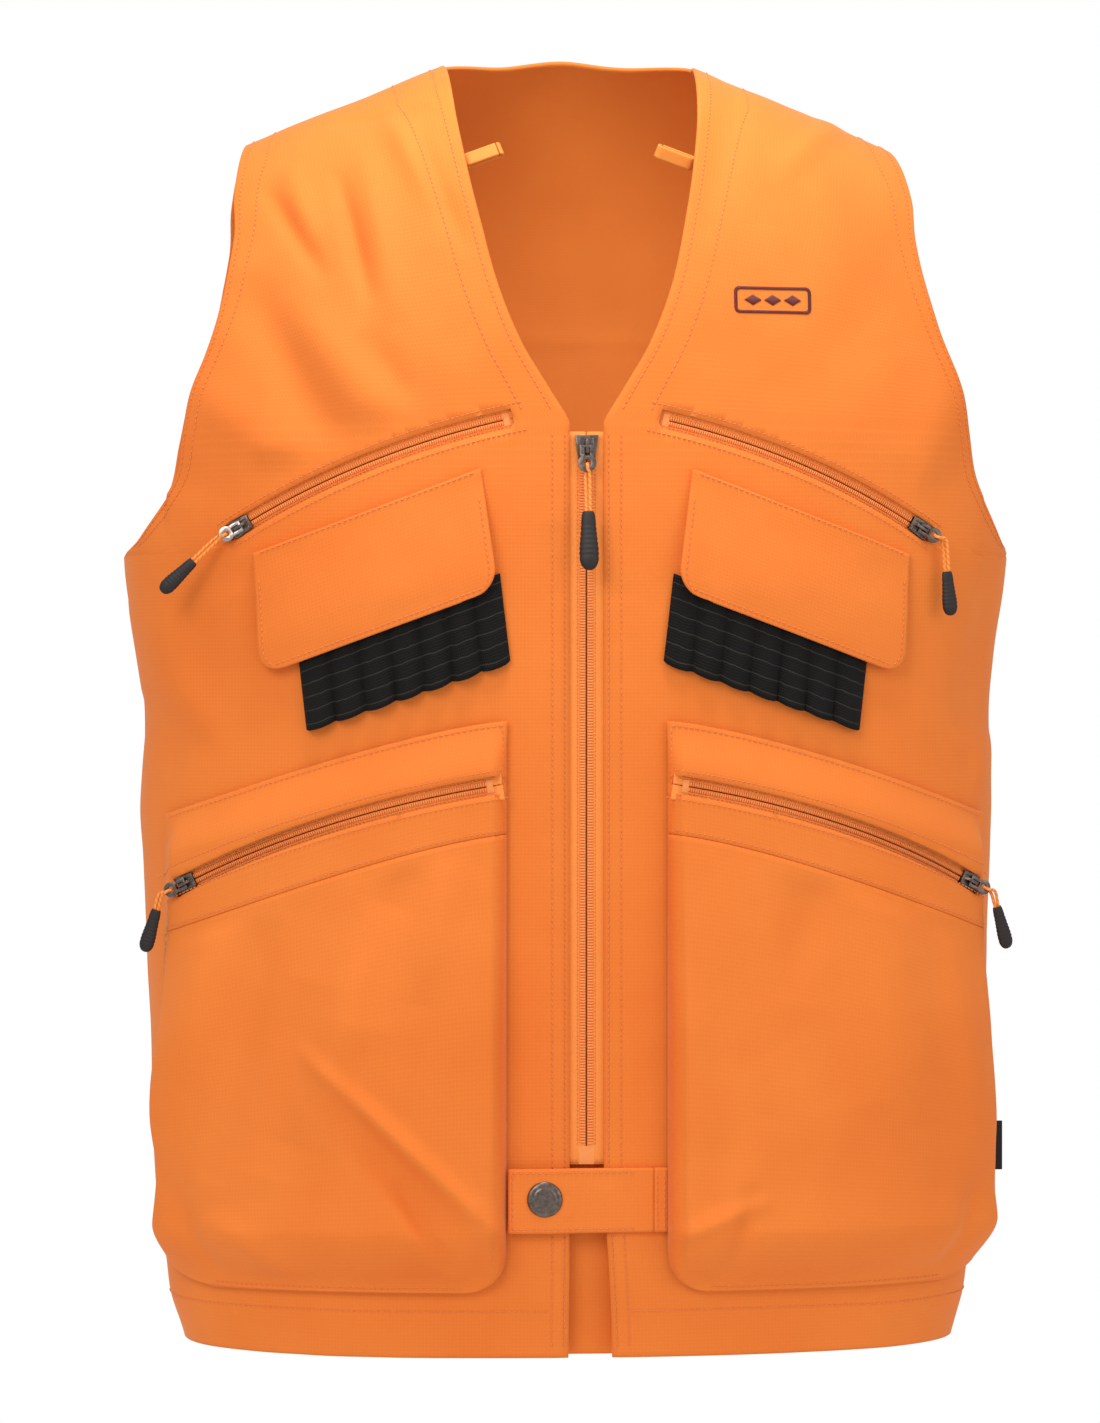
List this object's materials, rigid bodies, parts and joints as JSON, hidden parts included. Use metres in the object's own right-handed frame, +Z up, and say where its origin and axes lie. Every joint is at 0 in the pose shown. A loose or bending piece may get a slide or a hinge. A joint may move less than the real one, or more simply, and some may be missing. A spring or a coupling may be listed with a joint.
{
  "type": "field vest",
  "caption": "Sleeveless high-visibility field vest, worn shape: V neck, centre zip, slanted zip pockets, bellows pockets, flaps over cartridge loops and a press-stud hem tab.",
  "frame": {"origin": "midway between the shoulder seams at the height of the neck ends, where a wearer or a hanger carries the vest", "axes": "-Y is the vest's front, +Z up, +X the wearer's left"},
  "size_m": [0.492, 0.2785, 0.716],
  "materials": {
    "cloth": "matt woven ripstop",
    "lining": "matt plain weave",
    "elastic": "ribbed woven elastic",
    "tape": "woven zip tape",
    "coil": "satin nylon coil",
    "metal": "gunmetal, lightly worn",
    "silver": "satin nickel",
    "cord": "smooth braided cord",
    "rubber": "matt moulded",
    "label": "woven satin, blank",
    "thread": "satin embroidery"
  },
  "bodies": {
    "shell": {"back_panel": "cloth", "left_front_panel": "cloth", "right_front_panel": "cloth", "main_zip_tape_left": "tape", "main_zip_coil_left": "coil", "main_zip_tape_right": "tape", "main_zip_coil_right": "coil", "main_zip_box": "metal", "zip_underlay": "cloth", "chest_zip_left_tape_top": "tape", "chest_zip_left_tape_bottom": "tape", "chest_zip_left_stop": "tape", "lower_zip_left_tape_top": "tape", "lower_zip_left_tape_bottom": "tape", "lower_zip_left_stop": "tape", "chest_zip_right_tape_top": "tape", "chest_zip_right_tape_bottom": "tape", "chest_zip_right_stop": "tape", "lower_zip_right_tape_top": "tape", "lower_zip_right_tape_bottom": "tape", "lower_zip_right_stop": "tape", "chest_pocket_bag_left": "lining", "chest_pocket_bag_right": "lining", "lower_pocket_yoke_left": "cloth", "lower_pocket_bag_left": "cloth", "lower_pocket_yoke_right": "cloth", "lower_pocket_bag_right": "cloth", "cartridge_loops_left": "elastic", "cartridge_loops_right": "elastic", "hem_tab_anchor": "cloth", "snap_stud": "metal", "side_label": "label", "chest_patch": "thread"},
    "main_zip_slider": {"main_zip_slider": "metal"},
    "main_zip_pull": {"main_zip_tab": "metal", "main_zip_cord": "cord", "main_zip_grip": "rubber"},
    "chest_zip_left_slider": {"chest_zip_left_slider": "metal"},
    "chest_zip_left_pull": {"chest_zip_left_tab": "metal", "chest_zip_left_cord": "cord", "chest_zip_left_grip": "rubber"},
    "chest_zip_right_slider": {"chest_zip_right_slider": "metal"},
    "chest_zip_right_pull": {"chest_zip_right_tab": "silver", "chest_zip_right_cord": "cord", "chest_zip_right_grip": "rubber"},
    "lower_zip_left_slider": {"lower_zip_left_slider": "metal"},
    "lower_zip_left_pull": {"lower_zip_left_tab": "metal", "lower_zip_left_cord": "cord", "lower_zip_left_grip": "rubber"},
    "lower_zip_right_slider": {"lower_zip_right_slider": "metal"},
    "lower_zip_right_pull": {"lower_zip_right_tab": "metal", "lower_zip_right_cord": "cord", "lower_zip_right_grip": "rubber"},
    "chest_flap_left": {"chest_flap_left": "cloth"},
    "chest_flap_right": {"chest_flap_right": "cloth"},
    "hem_tab": {"hem_tab": "cloth", "snap_cap": "metal", "snap_socket": "metal"},
    "hanger_loop_left": {"hanger_loop_left": "cloth"},
    "hanger_loop_right": {"hanger_loop_right": "cloth"}
  },
  "joints": [
    {"name": "main_zip_travel", "type": "slide", "parent": "shell", "child": "main_zip_slider", "axis": [0, 0, -1], "range_m": [0, 0.366]},
    {"name": "main_zip_tab_hinge", "type": "hinge", "parent": "main_zip_slider", "child": "main_zip_pull", "pos_m": [0, -0.1314, -0.217], "axis": [-1, 0, 0], "range_deg": [0, 140]},
    {"name": "chest_zip_left_travel", "type": "hinge", "parent": "shell", "child": "chest_zip_left_slider", "pos_m": [-0.00681, 0.11791, -0.40997], "axis": [-0.1606, -0.654, -0.7392], "range_deg": [0, 25.98]},
    {"name": "chest_zip_left_tab_hinge", "type": "hinge", "parent": "chest_zip_left_slider", "child": "chest_zip_left_pull", "pos_m": [0.18445, -0.10104, -0.25914], "axis": [-0.4848, -0.1092, -0.8678], "range_deg": [0, 140]},
    {"name": "chest_zip_right_travel", "type": "hinge", "parent": "shell", "child": "chest_zip_right_slider", "pos_m": [0.00681, 0.11791, -0.40997], "axis": [-0.1606, 0.654, 0.7392], "range_deg": [0, 25.98]},
    {"name": "chest_zip_right_tab_hinge", "type": "hinge", "parent": "chest_zip_right_slider", "child": "chest_zip_right_pull", "pos_m": [-0.18445, -0.10104, -0.25914], "axis": [-0.4848, 0.1092, 0.8678], "range_deg": [0, 140]},
    {"name": "lower_zip_left_travel", "type": "hinge", "parent": "shell", "child": "lower_zip_left_slider", "pos_m": [0.03354, 0.09959, -0.51345], "axis": [-0.1472, -0.4387, -0.8865], "range_deg": [0, 37.18]},
    {"name": "lower_zip_left_tab_hinge", "type": "hinge", "parent": "lower_zip_left_slider", "child": "lower_zip_left_pull", "pos_m": [0.21416, -0.08767, -0.45148], "axis": [-0.3991, -0.1313, -0.9075], "range_deg": [0, 140]},
    {"name": "lower_zip_right_travel", "type": "hinge", "parent": "shell", "child": "lower_zip_right_slider", "pos_m": [-0.03354, 0.09959, -0.51345], "axis": [-0.1472, 0.4387, 0.8865], "range_deg": [0, 37.18]},
    {"name": "lower_zip_right_tab_hinge", "type": "hinge", "parent": "lower_zip_right_slider", "child": "lower_zip_right_pull", "pos_m": [-0.21416, -0.08767, -0.45148], "axis": [-0.3991, 0.1313, 0.9075], "range_deg": [0, 140]},
    {"name": "chest_flap_left_hinge", "type": "hinge", "parent": "shell", "child": "chest_flap_left", "pos_m": [0.11897, -0.1244, -0.25135], "axis": [-0.9192, -0.1955, 0.3419], "range_deg": [0, 130]},
    {"name": "chest_flap_right_hinge", "type": "hinge", "parent": "shell", "child": "chest_flap_right", "pos_m": [-0.11897, -0.1244, -0.25135], "axis": [-0.9192, 0.1955, -0.3419], "range_deg": [0, 130]},
    {"name": "hem_tab_hinge", "type": "hinge", "parent": "shell", "child": "hem_tab", "pos_m": [0.03612, -0.13267, -0.62], "axis": [0, 0, 1], "range_deg": [0, 115]},
    {"name": "hanger_loop_left_hinge", "type": "hinge", "parent": "shell", "child": "hanger_loop_left", "pos_m": [0.05975, -0.08144, -0.05998], "axis": [0, 1, 0], "range_deg": [-25, 25]},
    {"name": "hanger_loop_right_hinge", "type": "hinge", "parent": "shell", "child": "hanger_loop_right", "pos_m": [-0.05975, -0.08144, -0.05998], "axis": [0, -1, 0], "range_deg": [-25, 25]}
  ]
}
